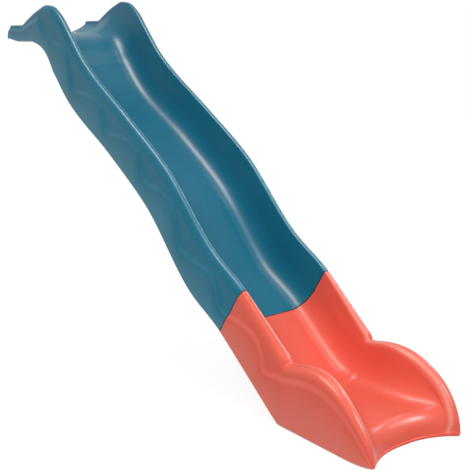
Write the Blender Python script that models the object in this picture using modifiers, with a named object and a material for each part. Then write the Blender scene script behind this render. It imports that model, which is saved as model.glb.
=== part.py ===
"""A two-piece wavy playground slide for a play deck, in metres.

X runs across the slide, the exit faces -Y and the lip lies at +Y. The ground is z = 0, and the
origin is the middle of the slide's footprint on it. Both chutes are hollow, double-walled
mouldings, lofted through sections that stand square to the slope between the deck and the foot,
and upright at the lip and at the run-out.
"""

import math

import bmesh
import bpy
import numpy as np
from mathutils import Matrix, Vector

# The slide seen from its side
DECK_HEIGHT = 1.505
SLOPE_RUN = 2.023
LIP_LENGTH = 0.413
RUNOUT_LENGTH = 0.544
SEAM_FROM_FOOT = 0.487
SEAM_GAP = 0.0006

# The waves: the share of the slope from its foot to the deck, how far the underside leaves its
# straight line there, and how tall the side wall is
WAVES = (
    (0.055, 0.001, 0.253),
    (0.190, 0.005, 0.264),
    (0.300, -0.028, 0.271),
    (0.490, 0.036, 0.254),
    (0.635, 0.009, 0.249),
    (0.825, -0.054, 0.268),
    (0.912, -0.027, 0.273),
)

# The rail's hump and the low ear beside the lip, both from the deck's edge
HUMP_HEIGHT = 0.187
HUMP_START = 0.250
EAR_HEIGHT = 0.088
EAR_START = 0.232
EAR_SETBACK = 0.035
LIP_FLAT = 0.262
LIP_RISE = 0.018
LIP_THICKNESS = 0.016

# The underside's corner at the deck's edge, with the hump over it: how far the underside's point lies
# past the edge and below the deck, then how far the rail's point lies past the edge and below the hump
HUMP_POINTS = (
    (-0.135, 0.112, -0.282, 0.076),
    (-0.104, 0.075, -0.232, 0.038),
    (-0.062, 0.042, -0.170, 0.008),
    (-0.018, 0.022, -0.095, 0.000),
    (0.035, 0.008, -0.018, 0.016),
    (0.090, 0.000, 0.060, 0.039),
    (0.160, 0.000, 0.143, 0.070),
)

# The run-out, its two fenders and their toes
FENDER_HEIGHT = 0.287
FENDER_TAPER = 1.3
FENDER_REACH = 0.330
NOTCH_FROM_FOOT = 0.139
NOTCH_HEIGHT = 0.266
RUNOUT_FLOOR = 0.100
RUNOUT_CROWN = 0.006
FRONT_RECESS = 0.078
FRONT_BOW = 2.5
FRONT_ROLL = 0.058
TOE_HEIGHT = 0.019
TOE_EDGE = 0.012
TOE_ROUND = 0.130
TOE_HALF_WIDTH = 0.218

# The section across the slide
BODY_WIDTH = 0.506
RAIL_WIDTH = 0.046
FENDER_WIDTH = 0.078
TOE_WIDTH = 0.050
EAR_WIDTH = 0.031
FLOOR_THICKNESS = 0.026
FILLET_WIDTH = 0.082
FILLET_RISE = 0.120
RAIL_INNER_ROUND = 0.010
FENDER_INNER_ROUND = 0.024
EAR_INNER_ROUND = 0.008
RAIL_OUTER_ROUND = 0.026
RAIL_OUTER_DROP = 0.052
FENDER_OUTER_ROUND = 0.036
TOE_OUTER_ROUND = 0.020
EAR_OUTER_ROUND = 0.010
EAR_SLANT = 0.6
BASE_ROUND = 0.008
SEAM_ROUND = 0.003
LIP_ROUND = 0.005
SKIN = 0.0025

# The wavy step moulded in each skirt, whose lower part stands proud of the upper part
STEP_PROUD = 0.009
STEP_WIDTH = 0.038
STEP_HEIGHT = 0.142
STEP_SWING = 0.048
STEP_PITCH = 0.385
STEP_CREST_FROM_FOOT = 0.300
STEP_LEAN = 0.40
STEP_CLEARANCE = 0.003
TOE_STEP_PROUD = 0.0012
FENDER_STEP_DROP = 0.046

# Steel fasteners: bolts through the seam's end walls and coach screws through the lip
THREAD = 0.008
HOLE_CLEARANCE = 0.0006
SEAT_GAP = 0.0003
HEX_WIDTH = 0.013
HEAD_HEIGHT = 0.0053
NUT_HEIGHT = 0.0068
WASHER_WIDTH = 0.020
WASHER_THICKNESS = 0.0016
BOLT_LENGTH = 0.030
SCREW_LENGTH = 0.060
SCREW_POINT = 0.009
SCREW_COUNT = 3
SCREW_SPACING = 0.080
SCREW_FROM_END = 0.185
SCREW_BOSS_WIDTH = 0.036

# The end walls at the seam, the pockets that reach them from below, and the drain holes
FLANGE = 0.008
BOLT_HEIGHTS = {"low": 0.032, "high": 0.080}
POCKET_WIDTH = 0.028
POCKET_LENGTH = 0.075
POCKET_HEADROOM = 0.014
DRAIN_WIDTH = 0.010
DRAIN_FROM_END = 0.130
CUTTER_REACH = 0.030

# How finely the loft is divided
WAVE_STATION = 0.060
FENDER_STATIONS = 11
SOLID_TOE_RINGS = 2
FLOOR_POINTS = 2
FILLET_POINTS = 6
ROUND_POINTS = 4
BASE_POINTS = 3
BELOW_POINTS = 4
TURNED_POINTS = 20
SHARP_ANGLE = math.radians(35)

BLUE = (0.022, 0.158, 0.235, 1.0)
RED = (0.800, 0.130, 0.088, 1.0)
ZINC = (0.560, 0.570, 0.580, 1.0)

SLOPE_ANGLE = math.atan2(DECK_HEIGHT, SLOPE_RUN)
SLOPE_LENGTH = math.hypot(DECK_HEIGHT, SLOPE_RUN)
UPHILL = np.array((math.cos(SLOPE_ANGLE), math.sin(SLOPE_ANGLE)))
OFF_SLOPE = np.array((-math.sin(SLOPE_ANGLE), math.cos(SLOPE_ANGLE)))
FRONT_Y = -(RUNOUT_LENGTH + SLOPE_RUN + LIP_LENGTH) / 2
FOOT_Y = FRONT_Y + RUNOUT_LENGTH
RIDGE_Y = FRONT_Y + FENDER_REACH
EDGE_Y = FOOT_Y + SLOPE_RUN
HALF_WIDTH = BODY_WIDTH / 2


def smooth(x, knots, values):
    """A smooth curve through the knots that never swings past them."""
    steps = np.diff(knots)
    slopes = np.diff(values) / steps
    before, after = slopes[:-1], slopes[1:]
    level = before * after <= 0
    inner = np.where(level, 0.0, 2 * before * after / np.where(level, 1.0, before + after))
    tangents = np.concatenate((slopes[:1], inner, slopes[-1:]))
    x = min(max(x, knots[0]), knots[-1])
    i = min(max(int(np.searchsorted(knots, x)) - 1, 0), len(steps) - 1)
    t = (x - knots[i]) / steps[i]
    rise = values[i + 1] - values[i]
    start, end = tangents[i] * steps[i], tangents[i + 1] * steps[i]
    return float(values[i] + t * (start + t * (3 * rise - 2 * start - end + t * (start + end - 2 * rise))))


def on_slope(along, off):
    """The point of the side view this far up the slope from its foot and off its straight line."""
    return np.array((FOOT_Y, 0.0)) + along * UPHILL + off * OFF_SLOPE


def wave(along):
    """How far the underside leaves the slope's straight line here, and the side wall's height."""
    shares, offsets, heights = zip(*WAVES)
    share = along / SLOPE_LENGTH
    return smooth(share, shares, offsets), smooth(share, shares, heights)


def fender_knots():
    """The fender's round ridge over the flat foot, from the toe's tip to the notch."""
    knots = []
    for turn in np.linspace(0, math.pi / 2, FENDER_STATIONS):
        y = RIDGE_Y - FENDER_REACH * math.cos(turn)
        top = TOE_HEIGHT + (FENDER_HEIGHT - TOE_HEIGHT) * math.sin(turn) ** FENDER_TAPER
        knots.append((y - FOOT_Y, (y, 0.0), (y, top)))
    flat = FOOT_Y - RIDGE_Y
    notch_y = on_slope(NOTCH_FROM_FOOT, sum(wave(NOTCH_FROM_FOOT)))[0]
    sag = FENDER_HEIGHT - NOTCH_HEIGHT
    for share, ridge_share, sag_share in ((0.35, 0.25, 0.10), (0.70, 0.52, 0.45), (0.95, 0.77, 0.85)):
        top = (RIDGE_Y + ridge_share * (notch_y - RIDGE_Y), FENDER_HEIGHT - sag_share * sag)
        knots.append(((share - 1) * flat, (RIDGE_Y + share * flat, 0.0), top))
    for share, ridge_share in ((0.30, 0.88), (0.65, 0.94)):
        along = share * NOTCH_FROM_FOOT
        top = (RIDGE_Y + ridge_share * (notch_y - RIDGE_Y), NOTCH_HEIGHT)
        knots.append((along, tuple(on_slope(along, 0.0)), top))
    return knots


def slope_knots():
    """The wavy underside and rail, from the notch to where the deck's corner starts."""
    top_end = SLOPE_LENGTH * WAVES[-1][0]
    count = math.ceil((top_end - NOTCH_FROM_FOOT) / WAVE_STATION) + 1
    knots = []
    for along in np.linspace(NOTCH_FROM_FOOT, top_end, count):
        offset, height = wave(along)
        knots.append((along, tuple(on_slope(along, offset)), tuple(on_slope(along, offset + height))))
    return knots


def lip_knots():
    """The underside's corner at the deck's edge, the rail's hump over it, and the ear."""
    points = [(y, -drop, top_y, HUMP_HEIGHT - top_drop) for y, drop, top_y, top_drop in HUMP_POINTS]
    bend = LIP_FLAT + 0.13 * (LIP_LENGTH - LIP_FLAT)
    points += [
        (EAR_START, 0.0, EAR_START - 0.14 * EAR_SETBACK, EAR_HEIGHT),
        (LIP_FLAT, 0.0, LIP_FLAT - 0.29 * EAR_SETBACK, EAR_HEIGHT),
        (bend, 0.07 * LIP_RISE, bend - 0.37 * EAR_SETBACK, EAR_HEIGHT),
        (LIP_LENGTH, LIP_RISE, LIP_LENGTH - EAR_SETBACK, EAR_HEIGHT),
    ]
    edge = np.array((EDGE_Y, DECK_HEIGHT))
    return [
        (SLOPE_LENGTH + under_y, tuple(edge + (under_y, under_z)), tuple(edge + (top_y, top_z)))
        for under_y, under_z, top_y, top_z in points
    ]


# Each knot holds a place, the underside's point there and the rail's point above it. The place is
# the distance up the slope from its foot: negative on the run-out, past the slope's length on the lip.
KNOTS = fender_knots() + slope_knots() + lip_knots()
PLACES = [knot[0] for knot in KNOTS]
TOE_PLACE = PLACES[0]
RIDGE_PLACE = RIDGE_Y - FOOT_Y
HUMP_PLACE = SLOPE_LENGTH - HUMP_START
EAR_PLACE = SLOPE_LENGTH + EAR_START
FLAT_PLACE = SLOPE_LENGTH + LIP_FLAT
LIP_PLACE = PLACES[-1]


def side_points(place):
    """The underside's point and the rail's point of the section at this place."""
    under = [smooth(place, PLACES, [knot[1][axis] for knot in KNOTS]) for axis in (0, 1)]
    top = [smooth(place, PLACES, [knot[2][axis] for knot in KNOTS]) for axis in (0, 1)]
    return np.array(under), np.array(top)


def by_place(place, toe, fender, rail, ear):
    """A size of the section that changes between the toe, the fender, the rail and the ear."""
    knots = (TOE_PLACE, RIDGE_PLACE, SEAM_FROM_FOOT + NOTCH_FROM_FOOT, HUMP_PLACE, EAR_PLACE)
    return smooth(place, knots, (toe, fender, rail, rail, ear))


def floor_height(place):
    """The sliding surface's height above the underside, which the run-out rolls down in front."""
    if place > FLAT_PLACE:
        return smooth(place, (FLAT_PLACE, LIP_PLACE), (FLOOR_THICKNESS, LIP_THICKNESS))
    if place < RIDGE_PLACE:
        back = (place - TOE_PLACE) * (1 - FRONT_RECESS / FENDER_REACH)
        short = 1 - min(1.0, back / FRONT_ROLL)
        return TOE_EDGE + (RUNOUT_FLOOR - TOE_EDGE) * math.sqrt(1 - short**2)
    halfway = (NOTCH_FROM_FOOT + SEAM_FROM_FOOT) / 2
    knots = (RIDGE_PLACE, 0.0, 0.4 * NOTCH_FROM_FOOT, NOTCH_FROM_FOOT, halfway, SEAM_FROM_FOOT)
    rise = RUNOUT_FLOOR - FLOOR_THICKNESS
    shares = (1.0, 1.0, 0.70, 0.32, 0.08, 0.0)
    return smooth(place, knots, [FLOOR_THICKNESS + share * rise for share in shares])


def step_height(place):
    """How high the wavy step lies above the underside. Along the fender it follows the ridge."""
    turn = 2 * math.pi * (place - STEP_CREST_FROM_FOOT) / STEP_PITCH
    waving = STEP_HEIGHT + STEP_SWING * math.cos(turn + STEP_LEAN * (math.cos(turn) - 1))
    under, top = side_points(place)
    following = float(np.linalg.norm(top - under)) - FENDER_STEP_DROP
    hollow = STEP_CREST_FROM_FOOT - STEP_PITCH / 4
    share = smooth(place, (NOTCH_FROM_FOOT / 2, hollow), (0.0, 1.0))
    return following + share * (waving - following)


def half_width(place):
    """Half the body's width, which draws in round the toe's tip."""
    back = min(1.0, (place - TOE_PLACE) / TOE_ROUND)
    return TOE_HALF_WIDTH + (HALF_WIDTH - TOE_HALF_WIDTH) * math.sqrt(1 - (1 - back) ** 2)


def arc(centre, radii, start, end, points):
    """Points of an elliptical arc in the section's plane, both ends included."""
    turns = np.radians(np.linspace(start, end, points))
    return [(centre[0] + radii[0] * math.cos(t), centre[1] + radii[1] * math.sin(t)) for t in turns]


def half_section(place, wall):
    """The section's right half, as (x, height), from the floor's middle to the underside's."""
    floor = floor_height(place)
    depth = wall - floor
    outer = half_width(place)
    inner = outer - by_place(place, TOE_WIDTH, FENDER_WIDTH, RAIL_WIDTH, EAR_WIDTH)
    proud = smooth(place, (TOE_PLACE, RIDGE_PLACE), (TOE_STEP_PROUD, STEP_PROUD))
    upper = outer - proud
    inner_round = by_place(place, FENDER_INNER_ROUND, FENDER_INNER_ROUND, RAIL_INNER_ROUND, EAR_INNER_ROUND)
    outer_round = by_place(place, TOE_OUTER_ROUND, FENDER_OUTER_ROUND, RAIL_OUTER_ROUND, EAR_OUTER_ROUND)
    inner_drop = min(inner_round, 0.3 * depth)
    outer_drop = by_place(place, TOE_OUTER_ROUND, FENDER_OUTER_ROUND, RAIL_OUTER_DROP, EAR_OUTER_ROUND)
    outer_drop = min(outer_drop, 0.3 * wall)
    base = min(BASE_ROUND, 0.2 * wall)
    rise = min(FILLET_RISE, 0.9 * (depth - inner_drop))
    crown = RUNOUT_CROWN * smooth(place, (RIDGE_PLACE, 0.0), (1.0, 0.0)) * min(1.0, depth / FILLET_RISE)
    half_step = min(STEP_WIDTH / 2, 0.15 * wall)
    reach = half_step + min(STEP_CLEARANCE, 0.2 * half_step)
    step = min(max(step_height(place), base + reach), wall - outer_drop - reach)
    flat = inner - FILLET_WIDTH
    points = [
        (flat * i / FLOOR_POINTS, floor + crown * (1 - (i / FLOOR_POINTS) ** 2)) for i in range(FLOOR_POINTS)
    ]
    slant = by_place(place, 0.0, 0.0, 0.0, EAR_SLANT)
    for x, height in arc((flat, floor + rise), (FILLET_WIDTH, rise), -90, 0, FILLET_POINTS):
        chord = floor + rise * (x - flat) / FILLET_WIDTH
        points.append((x, height + slant * (chord - height)))
    points += arc((inner + inner_round, wall - inner_drop), (inner_round, inner_drop), 180, 90, ROUND_POINTS)
    points += arc((upper - outer_round, wall - outer_drop), (outer_round, outer_drop), 90, 0, ROUND_POINTS + 1)
    points += [(upper, step + half_step), (outer, step - half_step)]
    points += arc((outer - base, base), (base, base), 0, -90, BASE_POINTS)
    points += [((outer - base) * i / BELOW_POINTS, 0.0) for i in range(BELOW_POINTS - 1, -1, -1)]
    return points


def inset(outline, by):
    """The closed outline, which runs clockwise, moved inwards by this much."""
    points = np.array(outline)
    edges = np.roll(points, -1, axis=0) - points
    edges /= np.linalg.norm(edges, axis=1)[:, None]
    inward = np.stack((edges[:, 1], -edges[:, 0]), axis=1)
    corner = inward + np.roll(inward, 1, axis=0)
    corner /= np.maximum(np.sum(corner * inward, axis=1), 0.5)[:, None]
    return points + by * corner


def ring(place, shift=0.0, by=0.0, bowed=True):
    """The section at this place in space, moved this far up the slide and drawn in by this much.

    Near the toe it bows back in the middle, or else all of it stands as far back as the middle.
    """
    under, top = side_points(place)
    wall = float(np.linalg.norm(top - under))
    up = (top - under) / wall
    ahead = np.array((up[1], -up[0]))
    half = half_section(place, wall)
    outline = half + [(-x, height) for x, height in half[-2:0:-1]]
    front_share = max(0.0, 1 - (place - TOE_PLACE) / FENDER_REACH)
    points = []
    for x, height in inset(outline, by):
        y, z = under + height * up + shift * ahead
        bow = max(0.0, 1 - (abs(x) / TOE_HALF_WIDTH) ** FRONT_BOW) if bowed else 1.0
        points.append(Vector((x, y + FRONT_RECESS * front_share * bow, z)))
    return points


def add_object(name, data, collection):
    made = bpy.data.objects.new(name, data)
    collection.objects.link(made)
    return made


def add_collection(name):
    made = bpy.data.collections.new(name)
    bpy.context.scene.collection.children.link(made)
    return made


def add_material(name, colour, roughness, metallic):
    material = bpy.data.materials.new(name)
    material.use_nodes = True
    shader = material.node_tree.nodes["Principled BSDF"]
    shader.inputs["Base Color"].default_value = colour
    shader.inputs["Roughness"].default_value = roughness
    shader.inputs["Metallic"].default_value = metallic
    material.diffuse_color = colour
    return material


def mesh_object(name, shape, collection):
    """An object from a bmesh, with its faces turned outwards."""
    bmesh.ops.recalc_face_normals(shape, faces=shape.faces)
    data = bpy.data.meshes.new(name)
    shape.to_mesh(data)
    shape.free()
    return add_object(name, data, collection)


def helper(made):
    """Marks a cutter, which no render shows."""
    made.hide_render = True
    made.display_type = "WIRE"
    return made


def close_thin(shape, loop):
    """Closes a low, bowed ring with upright triangles between its upper and its lower edge."""
    right = max(range(len(loop)), key=lambda i: loop[i].co.x)
    left = len(loop) - right
    upper = loop[left:] + loop[: right + 1]
    lower = loop[right + 1 : left][::-1]
    i = j = 0
    while i + j < len(upper) + len(lower) - 2:
        last = j == len(lower) - 1
        if last or (i < len(upper) - 1 and upper[i + 1].co.x <= lower[j + 1].co.x):
            shape.faces.new((upper[i], upper[i + 1], lower[j]))
            i += 1
        else:
            shape.faces.new((lower[j], upper[i], lower[j + 1]))
            j += 1


def loft(name, rings, collection, thin_start=False):
    """A closed solid through rings of equal length, with flat ends."""
    shape = bmesh.new()
    loops = [[shape.verts.new(point) for point in points] for points in rings]
    for first, second in zip(loops, loops[1:]):
        for i in range(len(first)):
            shape.faces.new((first[i - 1], first[i], second[i], second[i - 1]))
    if thin_start:
        close_thin(shape, loops[0])
    else:
        shape.faces.new(loops[0])
    shape.faces.new(loops[-1])
    return mesh_object(name, shape, collection)


def bar(name, width, length, sides, collection):
    """An upright bar from z = 0 to its length, round or, with six sides, hexagonal across flats."""
    radius = width / 2 / (math.cos(math.pi / sides) if sides == 6 else 1.0)
    shape = bmesh.new()
    middle = Matrix.Translation((0, 0, length / 2))
    bmesh.ops.create_cone(
        shape, cap_ends=True, segments=sides, radius1=radius, radius2=radius, depth=length, matrix=middle
    )
    return mesh_object(name, shape, collection)


def box(name, low, high, collection):
    """A box between two corners of its own frame."""
    low, high = Vector(low), Vector(high)
    shape = bmesh.new()
    place = Matrix.Translation((low + high) / 2) @ Matrix.Diagonal((*(high - low), 1.0))
    bmesh.ops.create_cube(shape, size=1.0, matrix=place)
    return mesh_object(name, shape, collection)


def turned(name, profile, collection):
    """A solid turned about Z from points of (radius, height) that run down its outer side."""
    count = len(profile)
    data = bpy.data.meshes.new(name)
    edges = [(i, i + 1) for i in range(count - 1)]
    if profile[0][0] > 0:
        edges.append((count - 1, 0))
    data.from_pydata([(radius, 0.0, height) for radius, height in profile], edges, [])
    made = add_object(name, data, collection)
    screw = made.modifiers.new("turn", "SCREW")
    screw.steps = TURNED_POINTS
    screw.render_steps = TURNED_POINTS
    screw.use_merge_vertices = True
    screw.merge_threshold = 0.00005
    return made


def combine(target, other, operation):
    """Cuts the other object from the target, or joins it on."""
    modifier = target.modifiers.new(other.name, "BOOLEAN")
    modifier.object = other
    modifier.operation = operation
    modifier.solver = "EXACT"
    helper(other)


def finished_mesh(made):
    """The object's shape with its modifiers taken in, for several objects to share."""
    helper(made)
    graph = bpy.context.evaluated_depsgraph_get()
    data = bpy.data.meshes.new_from_object(made.evaluated_get(graph))
    data.name = made.name
    data.shade_smooth()
    data.set_sharp_from_angle(angle=SHARP_ANGLE)
    return data


def rounded_end(place, size):
    """Rings that round off the end of a chute, from its end face inwards: up the slide, or down."""
    return [ring(place, share * size, abs(size) * draw) for share, draw in ((0.0, 1.0), (0.3, 0.3), (1.0, 0.0))]


def chute(name, rings, cavity_rings, material, parts, cutters, thin_start=False):
    """One moulding, solid so far, and the cutter that hollows it."""
    body = loft(name, rings, parts, thin_start)
    body.data.materials.append(material)
    body.data.shade_smooth()
    body.data.set_sharp_from_angle(angle=SHARP_ANGLE)
    return body, loft(name + "_cavity", cavity_rings, cutters)


def upper_chute(material, parts, cutters):
    seam = SEAM_FROM_FOOT + SEAM_GAP / 2
    rings = rounded_end(seam, SEAM_ROUND)
    rings += [ring(place) for place in PLACES if seam + 2 * SEAM_ROUND < place < LIP_PLACE - 2 * LIP_ROUND]
    rings += rounded_end(LIP_PLACE, -LIP_ROUND)[::-1]
    start, end = SEAM_FROM_FOOT + FLANGE, LIP_PLACE - 2 * LIP_ROUND
    inner = [place for place in PLACES if start + FLANGE < place < end - FLANGE]
    cavity_rings = [ring(place, by=SKIN) for place in (start, *inner, end)]
    return chute("upper_chute", rings, cavity_rings, material, parts, cutters)


def lower_chute(material, parts, cutters):
    seam = SEAM_FROM_FOOT - SEAM_GAP / 2
    rings = [ring(place) for place in PLACES if place < seam - 2 * SEAM_ROUND]
    rings += rounded_end(seam, -SEAM_ROUND)[::-1]
    end = SEAM_FROM_FOOT - FLANGE
    inner = [place for place in PLACES[SOLID_TOE_RINGS:] if place < end - FLANGE]
    cavity_rings = [ring(place, by=SKIN, bowed=False) for place in (*inner, end)]
    return chute("lower_chute", rings, cavity_rings, material, parts, cutters, thin_start=True)


def seam_frame():
    """The seam's frame on the underside: X across the slide, Y off the slope, Z downhill."""
    y, z = on_slope(SEAM_FROM_FOOT, wave(SEAM_FROM_FOOT)[0])
    return Matrix.Translation((0, y, z)) @ Matrix.Rotation(math.pi / 2 + SLOPE_ANGLE, 4, "X")


def cut_pocket(body, cavity, x, way, name, cutters):
    """Opens a pocket in the underside behind the end wall, and leaves solid plastic round it."""
    top = max(BOLT_HEIGHTS.values()) + POCKET_HEADROOM
    near, far = sorted((way * FLANGE, way * (FLANGE + POCKET_LENGTH)))
    frame = seam_frame()
    half = POCKET_WIDTH / 2
    pocket = box(f"{name}_pocket", (x - half, -CUTTER_REACH, near), (x + half, top, far), cutters)
    block = box(
        f"{name}_pocket_wall",
        (x - RAIL_WIDTH, -2 * CUTTER_REACH, near - FLANGE),
        (x + RAIL_WIDTH, top + SKIN, far + FLANGE),
        cutters,
    )
    for made in (pocket, block):
        made.matrix_world = frame
    combine(body, pocket, "DIFFERENCE")
    combine(cavity, block, "DIFFERENCE")


def cut_hole(bodies, name, width, place, cutters):
    """Drills a round hole along the frame's Z, to both sides of its origin."""
    hole = bar(name, width, 2 * CUTTER_REACH, TURNED_POINTS, cutters)
    hole.matrix_world = place @ Matrix.Translation((0, 0, -CUTTER_REACH))
    for body in bodies:
        combine(body, hole, "DIFFERENCE")


def fastener_meshes(cutters):
    """The shared meshes of the bolt, the nut, the coach screw and the washer, each pointing along Z."""
    radius = THREAD / 2
    hidden = HEAD_HEIGHT / 2
    bolt = bar("bolt", HEX_WIDTH, HEAD_HEIGHT, 6, cutters)
    bolt.location.z = -HEAD_HEIGHT
    shank = bar("bolt_shank", THREAD, BOLT_LENGTH + hidden, TURNED_POINTS, cutters)
    shank.location.z = -hidden
    screw = bar("screw", HEX_WIDTH, HEAD_HEIGHT, 6, cutters)
    screw.location.z = -HEAD_HEIGHT
    profile = [(0.0, SCREW_LENGTH), (radius, SCREW_LENGTH - SCREW_POINT), (radius, -hidden), (0.0, -hidden)]
    screw_shank = turned("screw_shank", profile, cutters)
    nut = bar("nut", HEX_WIDTH, NUT_HEIGHT, 6, cutters)
    bore = bar("nut_bore", THREAD + HOLE_CLEARANCE, 3 * NUT_HEIGHT, TURNED_POINTS, cutters)
    bore.location.z = -NUT_HEIGHT
    bpy.context.view_layer.update()
    combine(bolt, shank, "UNION")
    combine(screw, screw_shank, "UNION")
    combine(nut, bore, "DIFFERENCE")
    outside, inside = WASHER_WIDTH / 2, (THREAD + HOLE_CLEARANCE) / 2
    washer = turned(
        "washer",
        [(outside, WASHER_THICKNESS), (outside, 0.0), (inside, 0.0), (inside, WASHER_THICKNESS)],
        cutters,
    )
    bpy.context.view_layer.update()
    meshes = {made.name: finished_mesh(made) for made in (bolt, screw, nut, washer)}
    for name in ("bolt", "screw"):
        meshes[name].transform(Matrix.Translation((0, 0, -HEAD_HEIGHT)))
    return meshes


def add_fastener(name, mesh, place, parts):
    made = add_object(name, mesh, parts)
    made.matrix_world = place


def bolt_seam(upper, lower, meshes, parts, cutters):
    """Two bolts in each side wall clamp the end walls, their heads uphill and their nuts downhill."""
    frame = seam_frame()
    seat = FLANGE + SEAT_GAP
    stack = seat + WASHER_THICKNESS + SEAT_GAP
    for side, sign in (("left", -1), ("right", 1)):
        x = sign * (HALF_WIDTH - RAIL_WIDTH / 2)
        for (body, cavity), way in ((upper, -1), (lower, 1)):
            cut_pocket(body, cavity, x, way, f"{body.name}_{side}", cutters)
        for level, height in BOLT_HEIGHTS.items():
            axis = frame @ Matrix.Translation((x, height, 0))
            label = f"{side}_{level}"
            cut_hole((upper[0], lower[0]), f"seam_hole_{label}", THREAD + HOLE_CLEARANCE, axis, cutters)
            for name, mesh, z in (
                ("seam_bolt", "bolt", -stack),
                ("seam_head_washer", "washer", -seat - WASHER_THICKNESS),
                ("seam_nut_washer", "washer", seat),
                ("seam_nut", "nut", stack),
            ):
                place = axis @ Matrix.Translation((0, 0, z))
                add_fastener(f"{name}_{label}", meshes[mesh], place, parts)


def screw_lip(upper, meshes, parts, cutters):
    """Coach screws in a row across the lip, each through a solid boss between floor and underside."""
    body, cavity = upper
    y = EDGE_Y + LIP_LENGTH - SCREW_FROM_END
    floor = DECK_HEIGHT + FLOOR_THICKNESS
    point_down = Matrix.Rotation(math.pi, 4, "X")
    for i in range(SCREW_COUNT):
        x = (i - (SCREW_COUNT - 1) / 2) * SCREW_SPACING
        top = Matrix.Translation((x, y, floor))
        boss = bar(f"lip_boss_{i + 1}", SCREW_BOSS_WIDTH, 2 * CUTTER_REACH, TURNED_POINTS, cutters)
        boss.matrix_world = top @ Matrix.Translation((0, 0, -1.5 * CUTTER_REACH))
        combine(cavity, boss, "DIFFERENCE")
        cut_hole((body,), f"lip_hole_{i + 1}", THREAD + HOLE_CLEARANCE, top, cutters)
        washer = top @ Matrix.Translation((0, 0, SEAT_GAP))
        add_fastener(f"lip_washer_{i + 1}", meshes["washer"], washer, parts)
        head = top @ Matrix.Translation((0, 0, 2 * SEAT_GAP + WASHER_THICKNESS)) @ point_down
        add_fastener(f"lip_screw_{i + 1}", meshes["screw"], head, parts)


def drain(upper, lower, cutters):
    """A drain hole through the skin under each chute, near its low end."""
    along = SEAM_FROM_FOOT + DRAIN_FROM_END
    y, z = on_slope(along, wave(along)[0])
    across = Matrix.Rotation(SLOPE_ANGLE, 4, "X")
    low = Matrix.Translation((0, 0, 2 * SKIN - CUTTER_REACH))
    cut_hole((upper,), "upper_drain", DRAIN_WIDTH, Matrix.Translation((0, y, z)) @ across @ low, cutters)
    foot = Matrix.Translation((0, FOOT_Y - DRAIN_FROM_END, 0))
    cut_hole((lower,), "lower_drain", DRAIN_WIDTH, foot @ low, cutters)


def main():
    for made in list(bpy.data.objects):
        bpy.data.objects.remove(made, do_unlink=True)
    parts = add_collection("playground_slide")
    cutters = add_collection("cutters")
    zinc = add_material("zinc_plated_steel", ZINC, 0.35, 1.0)
    upper = upper_chute(add_material("blue_plastic", BLUE, 0.35, 0.0), parts, cutters)
    lower = lower_chute(add_material("red_plastic", RED, 0.35, 0.0), parts, cutters)
    meshes = fastener_meshes(cutters)
    for mesh in meshes.values():
        mesh.materials.append(zinc)
    bolt_seam(upper, lower, meshes, parts, cutters)
    screw_lip(upper, meshes, parts, cutters)
    for body, cavity in (upper, lower):
        combine(body, cavity, "DIFFERENCE")
    drain(upper[0], lower[0], cutters)


main()
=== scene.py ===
"""A wavy two-piece playground slide in a plain studio, seen from its near left side.

Both chutes are drawn finely over the frame's own solids, in metres: X runs across the slide, the
exit faces -Y, the lip lies at +Y, and the ground is z = 0.
"""

import math

import bpy
import numpy as np
from mathutils import Matrix, Vector


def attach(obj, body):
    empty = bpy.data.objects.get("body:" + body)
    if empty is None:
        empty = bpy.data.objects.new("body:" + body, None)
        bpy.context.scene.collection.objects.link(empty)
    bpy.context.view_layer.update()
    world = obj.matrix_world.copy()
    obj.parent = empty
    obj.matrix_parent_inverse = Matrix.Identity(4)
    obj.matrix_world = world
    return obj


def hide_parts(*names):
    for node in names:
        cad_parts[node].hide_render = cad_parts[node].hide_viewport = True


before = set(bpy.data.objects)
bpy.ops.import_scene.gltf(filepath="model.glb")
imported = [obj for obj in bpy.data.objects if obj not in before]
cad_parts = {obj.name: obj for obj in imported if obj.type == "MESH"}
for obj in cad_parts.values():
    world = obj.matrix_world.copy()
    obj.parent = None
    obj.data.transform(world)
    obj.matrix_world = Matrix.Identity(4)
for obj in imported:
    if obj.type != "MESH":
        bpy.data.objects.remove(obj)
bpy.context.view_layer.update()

# The photograph's camera: 470 pixels wide, 1000 pixels of focal length
CAMERA_PLACE = (-2.442, -3.979, 1.666)
CAMERA_AZIMUTH = math.radians(-33.85)
CAMERA_HEIGHT = math.radians(13.16)
CAMERA_ROLL = math.radians(2.85)
CAMERA_LENS = 76.6
CAMERA_SENSOR = 36.0

# The slide seen from its side
DECK_HEIGHT = 1.505
SLOPE_RUN = 2.023
LIP_LENGTH = 0.413
RUNOUT_LENGTH = 0.544
SEAM_FROM_FOOT = 0.487
SEAM_GAP = 0.0006

# The waves: the share of the slope from its foot to the deck, how far the underside leaves its
# straight line there, and how tall the side wall is
WAVES = (
    (0.055, 0.001, 0.253),
    (0.190, 0.005, 0.264),
    (0.300, -0.028, 0.271),
    (0.490, 0.036, 0.254),
    (0.635, 0.009, 0.249),
    (0.825, -0.054, 0.268),
    (0.912, -0.027, 0.273),
)

# The rail's hump and the low ear beside the lip, both from the deck's edge
HUMP_HEIGHT = 0.187
HUMP_START = 0.250
EAR_HEIGHT = 0.088
EAR_START = 0.232
EAR_SETBACK = 0.035
LIP_FLAT = 0.262
LIP_RISE = 0.018
LIP_THICKNESS = 0.016

# The lip's bend, as shares of the way from its flat part to its end and of its rise, and the shares of
# the ear's setback at the ear's start, at the flat part's end and at the bend
LIP_BEND = 0.13
LIP_BEND_RISE = 0.07
EAR_START_SETBACK = 0.14
EAR_FLAT_SETBACK = 0.29
EAR_BEND_SETBACK = 0.37

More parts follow.
